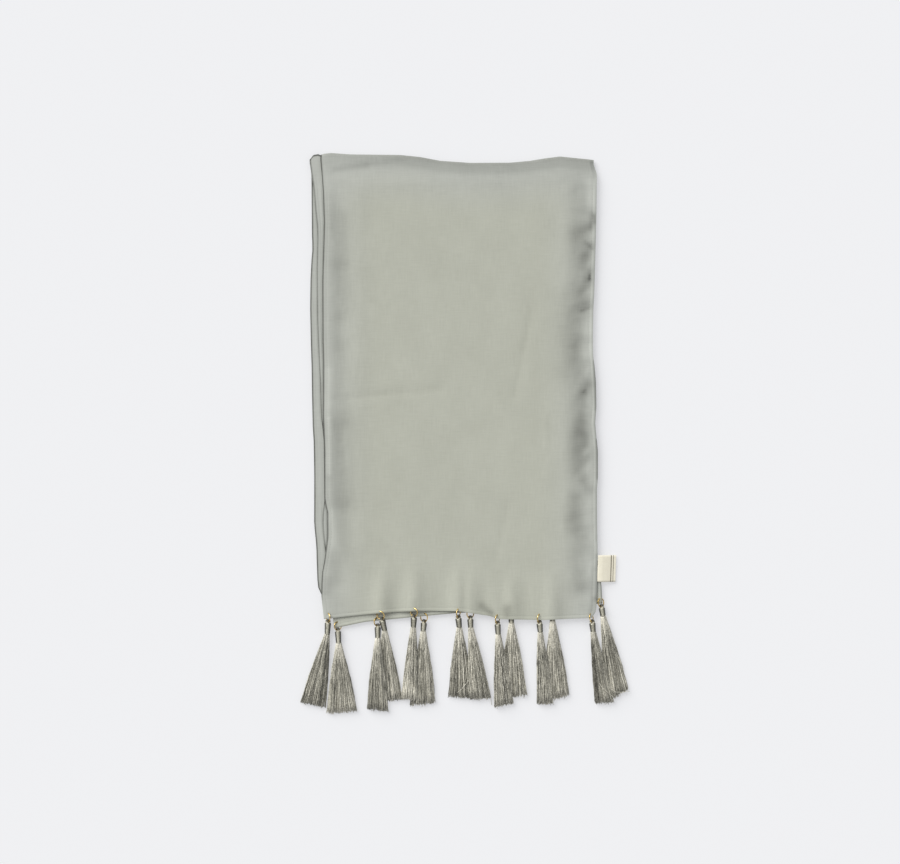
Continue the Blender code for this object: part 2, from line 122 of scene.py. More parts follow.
class Finish:
    """A material in the making. node() adds any node: its type, its settings, then its sockets."""

    def __init__(self, name, roughness, metallic=0.0, sheen=0.0, specular=0.5):
        self.material = bpy.data.materials.new(name)
        self.material.use_nodes = True
        self.tree = self.material.node_tree
        self.shader = self.tree.nodes["Principled BSDF"]
        self.shader.inputs["Roughness"].default_value = roughness
        self.shader.inputs["Metallic"].default_value = metallic
        self.shader.inputs["Sheen Weight"].default_value = sheen
        self.shader.inputs["Specular IOR Level"].default_value = specular

    def node(self, kind, settings, sockets, output=0):
        made = self.tree.nodes.new(kind)
        stops = settings.pop("stops", ())
        for name, value in settings.items():
            setattr(made, name, value)
        for index, (place, colour) in enumerate(stops):
            stop = made.color_ramp.elements[index] if index < 2 else made.color_ramp.elements.new(place)
            stop.position = place
            stop.color = (*colour, 1)
        for name, value in sockets.items():
            self.feed(made.inputs[name], value)
        return Wire(self, made.outputs[output])

    def feed(self, socket, value):
        if isinstance(value, Wire):
            self.tree.links.new(value.output, socket)
        else:
            socket.default_value = value

    def noise(self, stretch, detail=2.0):
        """Noise over the piece, whose spots are 1 / stretch metres long in each direction."""
        point = self.node("ShaderNodeTexCoord", {}, {}, "Object")
        point = self.node("ShaderNodeMapping", {}, {"Vector": point, "Scale": stretch})
        return self.node("ShaderNodeTexNoise", {}, {"Vector": point, "Scale": 1.0, "Detail": detail})

    def attribute(self, name):
        return self.node("ShaderNodeAttribute", {"attribute_name": name}, {}, "Fac")

    def ramp(self, amount, stops):
        return self.node("ShaderNodeValToRGB", {"stops": stops}, {"Fac": amount})

    def colour(self, amount, stops):
        self.feed(self.shader.inputs["Base Color"], self.ramp(amount, stops))

    def bump(self, height, depth):
        """Raises the surface by depth in metres where height is 1."""
        raised = self.node("ShaderNodeBump", {}, {"Height": height, "Distance": depth, "Strength": 1.0})
        self.feed(self.shader.inputs["Normal"], raised)


# Colours from the deepest shade to full light: a cooler row for the sides and a warmer one for the middle
SILK_COOL = (
    (0.0, (0.09, 0.092, 0.081)), (0.12, (0.227, 0.232, 0.208)),
    (0.55, (0.392, 0.402, 0.364)), (1.0, (0.565, 0.578, 0.527)))
SILK_WARM = (
    (0.0, (0.09, 0.09, 0.075)), (0.12, (0.228, 0.23, 0.192)),
    (0.55, (0.397, 0.403, 0.336)), (1.0, (0.571, 0.580, 0.494)))
SILK_LIGHTNESS = 0.65
TONE_SHARE = 0.5
YARN_CONTRAST = 0.16
BLOTCH_CONTRAST = 0.16
YARN_HEIGHT = 0.7
WEAVE_HEIGHT = 0.12
WEAVE_SCALE = 700.0
WEAVE_DEPTH = 0.0001


def silk_finish():
    made = Finish("silk", roughness=0.62, sheen=0.1, specular=0.18)
    tone = made.attribute("tone")
    warmth = made.attribute("warmth")
    weft = made.noise((70, 1100, 1100))
    warp = made.noise((1100, 60, 1100))
    blotch = made.noise((38, 26, 30), detail=3.0)
    # The painted light and shade of the layer "tone" lighten and darken the colour here
    level = SILK_LIGHTNESS + tone * TONE_SHARE
    level = level + (weft + warp - 1.0) * YARN_CONTRAST + (blotch - 0.5) * BLOTCH_CONTRAST
    colours = {"Factor": warmth, 6: made.ramp(level, SILK_COOL), 7: made.ramp(level, SILK_WARM)}
    shade = made.node("ShaderNodeMix", {"data_type": "RGBA"}, colours, 2)
    made.feed(made.shader.inputs["Base Color"], shade)
    made.feed(made.shader.inputs["Roughness"], 0.58 + (weft + warp) * 0.08)
    point = made.node("ShaderNodeTexCoord", {}, {}, "Object")
    weave = {"Vector": point, "Scale": WEAVE_SCALE}
    across = made.node("ShaderNodeTexWave", {"bands_direction": "X"}, weave, 1)
    along = made.node("ShaderNodeTexWave", {"bands_direction": "Y"}, weave, 1)
    made.bump((weft + warp) * YARN_HEIGHT + across * along * WEAVE_HEIGHT, WEAVE_DEPTH)
    return made.material


silk = silk_finish()


# The top layer of the folded scarf. Its sides and its end are turned in and sewn down as narrow hems,
# it rolls round the outer fold and turns under, and the rings under its hem lift it here and there.
MM = 0.001
CLOTH = 1.0
SEAM_GAP = 0.3
SCARF_WIDTH = 274.0
BACK_TOP = 2 * CLOTH + SEAM_GAP
SECOND_TOP = BACK_TOP + SEAM_GAP + CLOTH
FRONT_TOP = SECOND_TOP + SEAM_GAP + CLOTH
FRONT_ROLL = 4.5
FRONT_CROWN = 6.4
FRONT_FOOT = 0.0
FRONT_LIP = 3.0
FRONT_LOFT = 0.6
CREASE_BLEND = 22.0
PINCH_REACH = 4.5
PINCH_DROP = 0.4
PINCH_LIFT = 0.1
SHELL = 0.55
HEM = 4.0

EdgePoint = namedtuple("EdgePoint", "along across")
FRONT_LEFT = [EdgePoint(*p) for p in (
    (-187, -141), (-175, -142.3), (-163, -143.6), (-151, -143.6), (-139, -142.9), (-127, -140.7),
    (-115, -139), (-103, -137.6), (-79, -137.7), (-72, -139.4), (-64, -140.7), (-17, -140.7), (-7, -141),
    (17, -142), (70, -141.7), (95, -142.4), (155, -142.6), (173, -142.2), (197, -141.4), (215, -141),
    (245, -142), (265, -143.4), (278, -144.6))]
FRONT_RIGHT = [EdgePoint(*p) for p in (
    (-184.7, 126.8), (-183, 128), (-179, 130.5), (-174, 131.4), (-149, 131.9), (-122, 132.7), (-87, 132.1),
    (-55, 132), (-43, 132.9), (-16, 132.9), (0, 131.2), (12, 130.2), (29, 131.4), (53, 131), (70, 129.5),
    (80, 128.2), (99, 127.9), (125, 128.3), (144, 129.3), (190, 130.6), (224, 131.4), (264, 131.9),
    (272.5, 128.8))]
HemPoint = namedtuple("HemPoint", "across along")
FRONT_FOLD = [HemPoint(*p) for p in (
    (-155, 276.5), (-143.5, 278.5), (-141.5, 279.4), (-134, 280.2), (-115, 278.8), (-65, 278.2),
    (-45, 276.2), (-25, 272.4), (5, 270.3), (45, 270.5), (65, 272.3), (80, 274.8), (95, 276.7),
    (129, 273.2))]
FRONT_HEM = [HemPoint(*p) for p in (
    (-140, -186), (-85, -180), (-50, -178), (-7, -178), (25, -183), (33, -186), (76, -187), (125, -185))]

# Soft folds: a run from one point to another, half its width, how far it rises or sinks, and its tone,
# the shade painted along it where negative and the light painted along it where positive
Fold = namedtuple("Fold", "x0 y0 x1 y1 half_width rise tone")
FRONT_FOLDS = [Fold(*f) for f in (
    (-127, 245, -124, 133, 7, -0.55, 0), (-124, 133, -122, 33, 7, -0.5, 0),
    (-122, 20, -123, -75, 9, -0.55, 0), (-123, -75, -128, -150, 8, -0.35, 0),
    (-134, 240, -133, -90, 5, 0.35, 0), (-107, 235, -104, -110, 9, 0.5, 0),
    (116, 250, 117, -137, 8, -0.5, 0), (102, 240, 103, -120, 8, 0.45, 0), (127, 250, 129, -130, 4, 0.3, 0),
    (-127, 262, -35, 273, 6, -0.4, 0), (-120, 250, 90, 255, 9, 0.5, 0), (-130, 35, -25, 44, 6, -0.25, 0),
    (66, 123, 49, 38, 7, -0.25, 0), (76, 38, 76, -37, 6, -0.2, 0), (42, -72, 30, -127, 7, -0.25, 0))]
PUCKER_LINE = 118.0
PUCKER_REACH = 9.0
PUCKER_RISE = 0.4
PUCKER_PITCHES = (31.0, 19.0)
SHORT_PUCKER = 0.6
LEAST_LOFT = 0.05

# Finer folds of the top layer and the shade and light painted along them, from the left side to the right
# and the hem; rows that rise by nothing only paint a darker or lighter band
FRONT_WRINKLES = [Fold(*f) for f in (
    (-127, 217, -125, 172, 11, 0, -0.28), (-127, 165, -125, 118, 10, 0, -0.28),
    (-129, 118, -128, 86, 6, 0, -0.12), (-124, 92, -122, 12, 9, 0, -0.16),
    (-124, 8, -123, -66, 13, 0, -0.42), (-120, -40, -118, -60, 8, 0, -0.1),
    (-121, -76, -121, -118, 10, 0, -0.24), (-131, -130, -128, -146, 8, 0, -0.28),
    (-136, 240, -134, 205, 4, 0, -0.1), (-118, 152, -114, 125, 7, 0, -0.15),
    (-136, 62, -137, 16, 4, 0.12, 0.25), (-136, 14, -136, -40, 2.5, 0.12, 0.35),
    (-133, -80, -131, -112, 5, 0.1, 0.25), (-119, -146, -118, -160, 8, 0, 0.12),
    (-137, -148, -138, -158, 5, 0, -0.3), (-120, 216, -118, 165, 4, -0.2, -0.1),
    (-131, 190, -128, 120, 3, 0.15, 0.05), (-118, 0, -116, -62, 4, 0.2, 0.1),
    (-133, -55, -129, -110, 3, 0.2, 0.05), (-134, 20, -125, -8, 3, -0.2, -0.1),
    (115, 244, 115, 200, 13, 0, -0.18), (119, 230, 119, 220, 6, 0, -0.22),
    (115, 200, 117, 130, 13, 0, -0.3), (107, 130, 106, 62, 14, 0, -0.42),
    (115, 60, 114, -150, 12, 0, -0.24), (128, 218, 126, 206, 4, -0.2, -0.6),
    (121, 204, 112, 197, 8, -0.1, -0.42), (126, 187, 122, 179, 5, -0.1, -0.5),
    (117, 175, 119, 167, 7, 0, -0.42), (125.5, 161, 123, 155, 4, -0.15, -0.5),
    (123, 151, 117, 142, 6, -0.1, -0.5), (112, 140, 118, 136, 7, 0, -0.18),
    (122, 127, 118, 122, 6, -0.2, -0.32), (111, 92, 107, 74, 7, 0, -0.12), (117, 112, 116, 98, 6, 0, -0.2),
    (124, 48, 119, 42, 5, -0.2, -0.7), (117, 36, 117, 12, 7, 0, -0.38), (117, 14, 116, 4, 7, -0.1, -0.28),
    (113, 0, 116, -16, 9, 0, -0.55), (110, -18, 111, -30, 8, 0, -0.28), (104, -88, 104, -94, 5, 0, -0.2),
    (122, -26, 118, -30, 5, -0.1, -0.3), (113, -38, 118, -46, 7, 0, -0.22),
    (119, -49, 126, -58, 5, -0.1, -0.35), (109, -66, 108, -82, 8, 0, -0.32),
    (112, -84, 114, -92, 8, 0, -0.18), (116, -102, 118, -110, 7, 0, -0.18),
    (115, -143, 115, -150, 7, -0.1, -0.28), (117, -159, 118, -172, 6, 0, -0.1),
    (129.6, 71, 131, 24, 1.7, 0, -1.0), (131, 22, 130.4, 8, 1.5, 0, -0.5),
    (131, 6, 132.3, -8, 1.5, 0, -0.6), (132.3, -8, 132.5, -46, 1.9, 0, -1.1),
    (120, 173, 125, 173, 4, 0, -0.22), (129, 217, 129.5, 210, 1.8, 0, -0.6),
    (120, 191, 128, 184, 1.6, -0.15, -0.4), (125, 158, 125.5, 153, 1.6, -0.1, -0.4),
    (116, 122, 126, 126, 1.6, -0.15, -0.35), (110, 141, 104, 130, 6, 0, 0.2),
    (112, 86, 112, 76, 5, 0, -0.2), (107, 60, 107, 52, 6, 0, 0.22), (120, 30, 121, 26, 3, 0, -0.3),
    (120, -2, 121, -12, 4, 0, -0.27), (126, -131, 124, -139, 3, 0, 0.2),
    (129, -136, 128, -166, 3, 0, -0.25), (130, -166, 127, -180, 3, -0.2, -0.5),
    (131, -50, 131.2, -108, 1.5, 0, -0.3), (131.8, -122, 131.2, -166, 1.8, 0, -0.5),
    (124, 251, 125, 229, 4, 0, 0.2), (127, 198, 126, 192, 3, 0.15, 0.15), (127, 172, 124, 167, 3, 0.2, 0.2),
    (124, 141, 118, 138, 3, 0.15, 0.15), (121, 113, 122, 78, 5, 0.1, 0.2), (124, 64, 121, 60, 3, 0.15, 0.2),
    (123, 34, 121, 24, 4, 0.15, 0.25), (122, -18, 120, -21, 3, 0.2, 0.3),
    (124, -34, 121, -37, 3, 0.15, 0.2), (122, -66, 122, -76, 4, 0.1, 0.12),
    (122, -84, 121, -96, 4.5, 0.1, 0.15), (122, -122, 121, -136, 5, 0.1, 0.1),
    (127, 217, 110, 221, 2.5, -0.15, 0), (127, 205, 112, 199, 2.5, -0.15, 0),
    (127, 186, 111, 180, 2.5, -0.15, 0), (127, 159, 112, 154, 2.5, -0.15, 0),
    (126, 135, 108, 130, 3, 0.15, 0.1), (125, 119, 106, 113, 2.5, 0.15, 0),
    (125, 90, 103, 84, 3, -0.15, -0.05), (126, 56, 106, 51, 2.5, 0.15, 0),
    (127, 12, 112, 18, 2.5, 0.15, 0.1), (129, -8, 112, -5, 3, -0.15, 0),
    (129, -35, 110, -41, 2.5, -0.15, 0), (129, -62, 113, -60, 2.5, 0.15, 0.08),
    (129, -95, 108, -99, 3, -0.15, -0.05), (127, 234, 112, 230, 3, -0.15, -0.05),
    (-130, 263, -98, 267, 3, -0.25, -0.2), (-98, 267, -60, 275, 3, -0.2, -0.12),
    (-130, 35, -80, 39, 2.5, -0.12, -0.09), (-80, 39, -25, 44, 2.5, -0.1, -0.07),
    (66, 123, 58, 84, 3, -0.12, -0.08), (58, 84, 49, 38, 3, -0.1, -0.06),
    (84, 19, 84, -20, 2, -0.08, -0.08), (42, -72, 30, -127, 3, -0.1, -0.06),
    (17, -173, 24, -179, 4, -0.3, -0.7), (27, -181, 27, -188, 3, -0.1, -0.5),
    (42, -176, 42, -182, 5, -0.2, -0.7), (-83, -170, -70, -178, 4, -0.15, -0.05),
    (-50, -170, -49, -176, 3, -0.2, -0.08), (-31, -166, -30, -178, 3, -0.1, -0.08))]

# Where a ring under the hem lifts the cloth: its place across, and by how much
Lift = namedtuple("Lift", "across rise")
HEM_LIFTS = [Lift(*row) for row in (
    (-137, 0.6), (-83, 3.0), (-51, 3.0), (-6.7, 3.0), (5.3, 2.6), (32.5, 0.9), (46, 2.6), (74.4, 0.6),
    (87, 2.6), (127.2, 0.8))]
LIFT_HALF_WIDTH = 9.0
LIFT_START = 58.0
LIFT_FULL = 10.0


def between(points, at):
    """The value at a place along a table of (place, value) pairs, straight between its rows."""
    if at <= points[0][0]:
        return points[0][1]
    for low, high in zip(points, points[1:]):
        if at <= high[0]:
            return low[1] + (high[1] - low[1]) * (at - low[0]) / (high[0] - low[0])
    return points[-1][1]


def mix(low, high, share):
    return low + (high - low) * share


def smooth(share):
    share = min(max(share, 0.0), 1.0)
    return share * share * (3 - 2 * share)


Span = namedtuple("Span", "start full")


def ramp(value, span):
    """0 up to the span's start, rising softly to 1 where it is full."""
    return smooth((value - span.start) / (span.full - span.start))


def bell(distance, half_width, power=2):
    """1 at no distance, falling softly to 0 past the half width, and more sharply with a higher power."""
    return exp(-(distance / half_width) ** power)


def even(count, low=0.0, high=1.0):
    """Evenly spaced values, ends included."""
    return [low + (high - low) * index / (count - 1) for index in range(count)]


def fold_line(x):
    return between(FRONT_FOLD, x)


def nearness(fold, x, y):
    """1 on a fold's line, falling softly to 0 away from it."""
    run_x, run_y = fold.x1 - fold.x0, fold.y1 - fold.y0
    away_x, away_y = x - fold.x0, y - fold.y0
    share = (away_x * run_x + away_y * run_y) / (run_x * run_x + run_y * run_y)
    share = min(max(share, 0.0), 1.0)
    away_x -= run_x * share
    away_y -= run_y * share
    reach = (away_x * away_x + away_y * away_y) / (fold.half_width * fold.half_width)
    return exp(-reach) if reach < 9 else 0.0


def hem_lift(x, y):
    rise = smooth((LIFT_START - (y - between(FRONT_HEM, x))) / (LIFT_START - LIFT_FULL))
    if rise == 0.0:
        return 0.0
    bumps = (row.rise * bell(x - row.across, LIFT_HALF_WIDTH) for row in HEM_LIFTS)
    return rise * sum(bump ** 4 for bump in bumps) ** 0.25


def front_height(x, y):
    """The upper face of the top layer, without its finer wrinkles."""
    rise = FRONT_LOFT + sum(fold.rise * nearness(fold, x, y) for fold in FRONT_FOLDS)
    wave = sin(2 * pi * y / PUCKER_PITCHES[0]) + SHORT_PUCKER * sin(2 * pi * y / PUCKER_PITCHES[1] + 1)
    rise += PUCKER_RISE * wave * bell(x - PUCKER_LINE, PUCKER_REACH)
    height = FRONT_TOP + max(rise, LEAST_LOFT)
    near_fold = smooth(1 - (fold_line(x) - FRONT_ROLL - y) / CREASE_BLEND)
    return mix(height + hem_lift(x, y), FRONT_CROWN, near_fold)


HEM_BEAD = 0.14
STITCH_GROOVE = 0.1
STITCH_GROOVE_WIDTH = 0.9
EDGE_DROP = 0.2
EDGE_WIDTH = 0.7
HEM_FADE = 12
Rim = namedtuple("Rim", "to_left to_right to_end")


def hem_relief(rim):
    """A narrow hem seen from above: a low bead along the edge, then the groove that its stitches pull in."""
    distance = min(rim.to_left, rim.to_right, rim.to_end + EDGE_WIDTH)
    bead = HEM_BEAD * sin(pi * distance / HEM) if distance < HEM else 0.0
    groove = STITCH_GROOVE * bell(distance - HEM, STITCH_GROOVE_WIDTH)
    return bead - groove - EDGE_DROP * bell(distance, EDGE_WIDTH)


# How much shade is painted on a thin edge, or how much light where that is negative, and how far in this
# reaches
EdgeShade = namedtuple("EdgeShade", "depth width")
CUT_SIDE = 0.05
CUT_SHARE = 0.15


def rim_tone(distance, edge):
    """The shade of a thin edge that turns down and loses the light, all but its cut side."""
    return -edge.depth * bell(distance, edge.width, 4) * (CUT_SHARE if distance < CUT_SIDE else 1.0)


# A layer's sides, its hem, its fold's line and its upper face, then the fold's depth and top, and how high
# and how far it turns under
Layer = namedtuple("Layer", "left right hem line height roll crown foot lip")


def rolled_layer(layer, share, row):
    """A point of a layer: flat from row 0 to 1, round the fold to 2, and turned under to 3.

    The fold is pressed flatter towards its right-hand end, where nothing fills it.
    """
    first, last = layer.hem[0], layer.hem[-1]
    side_left = between(layer.left, mix(first.along, layer.line(first.across), min(row, 1.0)))
    side_right = between(layer.right, mix(last.along, layer.line(last.across), min(row, 1.0)))
    x = mix(side_left, side_right, share)
    start = layer.line(x) - layer.roll
    rim = Rim(x - side_left, side_right - x, mix(0, start - between(layer.hem, x), row))
    pinch = smooth(1 - rim.to_right / PINCH_REACH) * (layer.crown - layer.foot)
    if row <= 1:
        y = mix(between(layer.hem, x), start, row)
        sink = PINCH_DROP * pinch * smooth(1 - (start - y) / CREASE_BLEND)
        return Vector((x, y, layer.height(x, y) - sink)), rim
    crown = layer.crown - PINCH_DROP * pinch
    foot = layer.foot + PINCH_LIFT * pinch
    if row <= 2:
        turn = (row - 1) * pi
        middle = (crown + foot) / 2
        return Vector((x, start + layer.roll * sin(turn), middle + (crown - foot) / 2 * cos(turn))), rim
    return Vector((x, start - layer.lip * (row - 2), foot)), rim


# Where the rows and columns lie near an edge, so that the hem and its stitch line are drawn finely
FINE = (0, 0.12, 0.6, 1.2, 2.0, 2.8, 3.4, 4.0, 4.6, 5.4, 6.6, 8.2)
FLAT_LENGTH = 456


def stations(length, spacing):
    """Shares of a length, close together near both ends and about one spacing apart between."""
    count = round((length - 2 * FINE[-1]) / spacing) + 1
    inner = even(count, FINE[-1], length - FINE[-1])
    places = list(FINE[:-1]) + inner + [length - place for place in reversed(FINE[:-1])]
    return [place / length for place in places]


def layer_rows(spacing, last, turn, under):
    """A rolled layer's rows: up to the last share of its flat part, then round its fold and under it."""
    flat = [row for row in stations(FLAT_LENGTH, spacing) if row < last]
    return flat + [1.0] + even(turn, 1, 2)[1:] + even(under, 2, 3)[1:]


def add_piece(name, build, finish, *nodes):
    """Makes a bmesh in millimetres a smooth piece of the scarf, in place of the solids that it stands for."""
    bmesh.ops.scale(build, vec=(MM, MM, MM), verts=build.verts)
    mesh = bpy.data.meshes.new(name)
    build.to_mesh(mesh)
    build.free()
    mesh.shade_smooth()
    mesh.materials.append(finish)
    piece = bpy.data.objects.new(name, mesh)
    bpy.context.scene.collection.objects.link(piece)
    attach(piece, "root")
    if nodes:
        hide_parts(*nodes)
    return piece


def cloth_piece(name, columns, rows, place, finish, thickness, *nodes):
    """A layer of cloth: a grid laid by place(column, row), which gives a point, a tone and a warmth."""
    build = bmesh.new()
    tone = build.verts.layers.float.new("tone")
    warmth = build.verts.layers.float.new("warmth")
    across, along = len(columns) - 1, len(rows) - 1
    bmesh.ops.create_grid(build, x_segments=across, y_segments=along, size=0.5)
    for vertex in build.verts:
        column = columns[round((vertex.co.x + 0.5) * across)]
        row = rows[round((vertex.co.y + 0.5) * along)]
        vertex.co, vertex[tone], vertex[warmth] = place(column, row)
    piece = add_piece(name, build, finish, *nodes)
    shell = piece.modifiers.new("shell", "SOLIDIFY")
    shell.thickness = thickness * MM
    shell.offset = -1
    shell.use_even_offset = True
    return piece


FRONT_LEFT_EDGE = EdgeShade(1.4, 1.35)
FRONT_LEFT_SPAN = Span(-176, -156)
FRONT_RIGHT_EDGE = EdgeShade(-0.15, 0.8)
FRONT_END_EDGE = EdgeShade(0.5, 1.1)
FRONT_END_SPAN = Span(-20, -50)
FRONT_ROLL_EDGE = EdgeShade(0.45, 4)
FOLD_LINE_LEAST = 0.1

# The light painted along the side hems and just below the fold, and the shade painted on the fold itself
LightBand = namedtuple("LightBand", "tone middle half_width")
RIGHT_HEM_LIGHT = LightBand(0.25, 2.1, 1.5)
LEFT_HEM_LIGHT = LightBand(0.12, 3.5, 1.6)
BELOW_FOLD_LIGHT = LightBand(0.05, 22, 9)
FOLD_SHADES = (0.12, 0.38)
FOLD_SHADE_ACROSS = Span(-125, -65)
FOLD_SHADE_DOWN = Span(7, 15)
WARM_MIDDLE = -8
WARM_SPAN = Span(75, 145)
WARM_BELOW_FOLD = 60


def band_tone(distance, band, power=2):
    return band.tone * bell(distance - band.middle, band.half_width, power)


FRONT_LAYER = Layer(FRONT_LEFT, FRONT_RIGHT, FRONT_HEM, fold_line, front_height,
                    FRONT_ROLL, FRONT_CROWN, FRONT_FOOT, FRONT_LIP)


def front_place(share, row):
    point, rim = rolled_layer(FRONT_LAYER, share, row)
    below_fold = fold_line(point.x) - point.y
    # The tone: painted shade along the left edge, the end and the fold's roll, painted light along the right
    # edge, the side hems and below the fold, and the wrinkles' painted shade and light
    tone = rim_tone(rim.to_left, FRONT_LEFT_EDGE) * ramp(point.y, FRONT_LEFT_SPAN)
    tone += rim_tone(rim.to_right, FRONT_RIGHT_EDGE)
    tone += rim_tone(rim.to_end, FRONT_END_EDGE) * ramp(point.x, FRONT_END_SPAN)
    tone += band_tone(rim.to_right, RIGHT_HEM_LIGHT, 4) + band_tone(rim.to_left, LEFT_HEM_LIGHT)
    tone -= mix(*FOLD_SHADES, ramp(point.x, FOLD_SHADE_ACROSS)) * (1 - ramp(below_fold, FOLD_SHADE_DOWN))
    tone += band_tone(below_fold, BELOW_FOLD_LIGHT)
    tone += rim_tone(max(below_fold, FOLD_LINE_LEAST), FRONT_ROLL_EDGE)
    if row <= 1:
        point.z += hem_relief(rim) * smooth((1 - row) * HEM_FADE)
        for fold in FRONT_WRINKLES:
            near = nearness(fold, point.x, point.y)
            point.z += fold.rise * near
            tone += fold.tone * near
    warmth = 1 - ramp(abs(point.x - WARM_MIDDLE), WARM_SPAN)
    return point, tone, warmth * smooth(below_fold / WARM_BELOW_FOLD)


front_columns = stations(length=272, spacing=2.2)
front_rows = layer_rows(spacing=2.4, last=0.99, turn=13, under=4)
front_cloth = cloth_piece("front_cloth", front_columns, front_rows, front_place, silk, SHELL, "front_panel")


# The second layer lies nested in the first and shows as a strip along the left side and the hem.
# It is the scarf's other end, with a hem of its own that carries the second row of rings.
SECOND_ROLL = 2.5
SECOND_CROWN = SECOND_TOP + 0.5
SECOND_FOOT = CLOTH + SEAM_GAP
SECOND_INSET = 2.2
SECOND_LIP = 2.5
SECOND_HEM_LIFT = 0.2
SECOND_LIFT_START = 36.0
CORNER_LIFT = 0.5
LAST_RING = 136.5
SECOND_LEFT = [EdgePoint(*p) for p in (
    (-194.5, -131), (-127, -138.5), (-115, -140.3), (-103, -141.6), (-91, -142.5), (-79, -142.2),
    (-67, -140.8), (-7, -141.4), (5, -142.6), (17, -144), (29, -144.4), (53, -145), (65, -145.8),
    (89, -146.9), (113, -147.8), (161, -148.3), (197, -147.6), (209, -148), (221, -149.3), (245, -151.2),
    (258, -153), (266, -154.1), (276, -155.4))]
SECOND_RIGHT = [EdgePoint(*p) for p in (
    (-171, 137.4), (-152, 136.6), (-136, 134.5), (-118, 131), (-60, 130), (-20, 131), (20, 129), (60, 127.4),
    (85, 126.2), (133, 126), (268, 127))]
SECOND_HEM = [HemPoint(*p) for p in (
    (-129, -195), (-100, -189), (-50, -184), (-7, -180), (15, -179), (46, -176.5), (87, -174),
    (138, -170.5))]

# Where the second layer's fold comes out past the first's, and where it falls back at its corner
SECOND_STEP = 3.4
SECOND_STEP_SPAN = Span(-142, -145)
SECOND_CORNER = 4
SECOND_CORNER_SPAN = Span(-151, -156)


def second_line(x):
    """Its fold line inside the first's, which it overtakes where it shows beyond the first's left side."""
    step = SECOND_STEP * ramp(x, SECOND_STEP_SPAN) - SECOND_CORNER * ramp(x, SECOND_CORNER_SPAN)
    return fold_line(x) - SECOND_INSET + step


def second_height(x, y):
    """The upper face of the second layer."""
    near_fold = smooth(1 - (second_line(x) - SECOND_ROLL - y) / (CREASE_BLEND / 2))
    near_hem = smooth(1 - (y - between(SECOND_HEM, x)) / SECOND_LIFT_START)
    corner = CORNER_LIFT * bell(x - LAST_RING, LIFT_HALF_WIDTH)
    height = SECOND_TOP + (SECOND_HEM_LIFT + corner) * near_hem
    return mix(height, SECOND_CROWN, near_fold)


SECOND_LEFT_EDGE = EdgeShade(1.3, 1.3)
SECOND_LEFT_SPAN = Span(-140, -120)
SECOND_RIGHT_EDGE = EdgeShade(1.2, 1.3)
SECOND_RIGHT_SPAN = Span(-138, -146)
SECOND_END_EDGE = EdgeShade(0.8, 1.3)
SECOND_ROLL_EDGE = EdgeShade(2.0, 1.9)
# The shadow painted on a lower layer just past the edge of the layer above it, and how far it reaches
UNDER_FRONT_SHADE = 0.9
UNDER_SECOND_SHADE = 0.7
UNDER_SHADE_WIDTH = 0.9
# Light painted over the whole second layer, and more towards its hem, where it is also warmer
SECOND_LIGHT = 0.12
LOW_SPAN = Span(-150, -170)
LOW_LIGHT = 0.1
LOW_WARMTH = 0.8


SECOND_LAYER = Layer(SECOND_LEFT, SECOND_RIGHT, SECOND_HEM, second_line, second_height,
                     SECOND_ROLL, SECOND_CROWN, SECOND_FOOT, SECOND_LIP)


def second_place(share, row):
    point, rim = rolled_layer(SECOND_LAYER, share, row)
    if row <= 1:
        point.z += hem_relief(rim) * smooth((1 - row) * HEM_FADE)
    # The tone: painted shade along its edges and round its fold, the painted shadow of the first layer's left
    # edge, and painted light
    past_front = between(FRONT_LEFT, point.y) - point.x
    tone = rim_tone(rim.to_left, SECOND_LEFT_EDGE) * ramp(point.y, SECOND_LEFT_SPAN)
    tone += rim_tone(rim.to_right, SECOND_RIGHT_EDGE) * ramp(point.y, SECOND_RIGHT_SPAN)
    tone += rim_tone(rim.to_end, SECOND_END_EDGE) - UNDER_FRONT_SHADE * bell(past_front, UNDER_SHADE_WIDTH)
    tone += rim_tone(max(second_line(point.x) - point.y, FOLD_LINE_LEAST), SECOND_ROLL_EDGE)
    low = ramp(point.y, LOW_SPAN)
    return point, tone + SECOND_LIGHT + LOW_LIGHT * low, LOW_WARMTH * low


second_columns = stations(length=276, spacing=5.0)
second_rows = layer_rows(spacing=5.0, last=0.98, turn=9, under=3)
second_cloth = cloth_piece(
    "second_cloth", second_columns, second_rows, second_place, silk, SHELL, "second_panel")


# The two back layers are one stretch of the cloth, doubled over the fold at the middle of the scarf.
# They carry the others, the lower one flat on the surface, and show along the left side only.
BACK_LEFT = [EdgePoint(*p) for p in (
    (-162, -143.5), (-159, -146), (-151, -147.5), (-127, -148.4), (-115, -148.6), (-103, -149.7),
    (-91, -150.9), (-43, -150.8), (-7, -151.4), (5, -152.3), (41, -153.1), (65, -153.4), (89, -154.2),
    (125, -154.9), (155, -154.5), (173, -153.6), (185, -152.5), (197, -153.1), (257, -153.6), (265, -154))]
MIDDLE_FOLD = -163.0
HEAD_ROOM = 8.1
BACK_NOSE = BACK_TOP / 2
BACK_LEFT_EDGE = EdgeShade(1.5, 1.5)
BACK_HEM_SHARE = 0.5
# Light painted over the whole back layer
BACK_LIGHT = 0.08


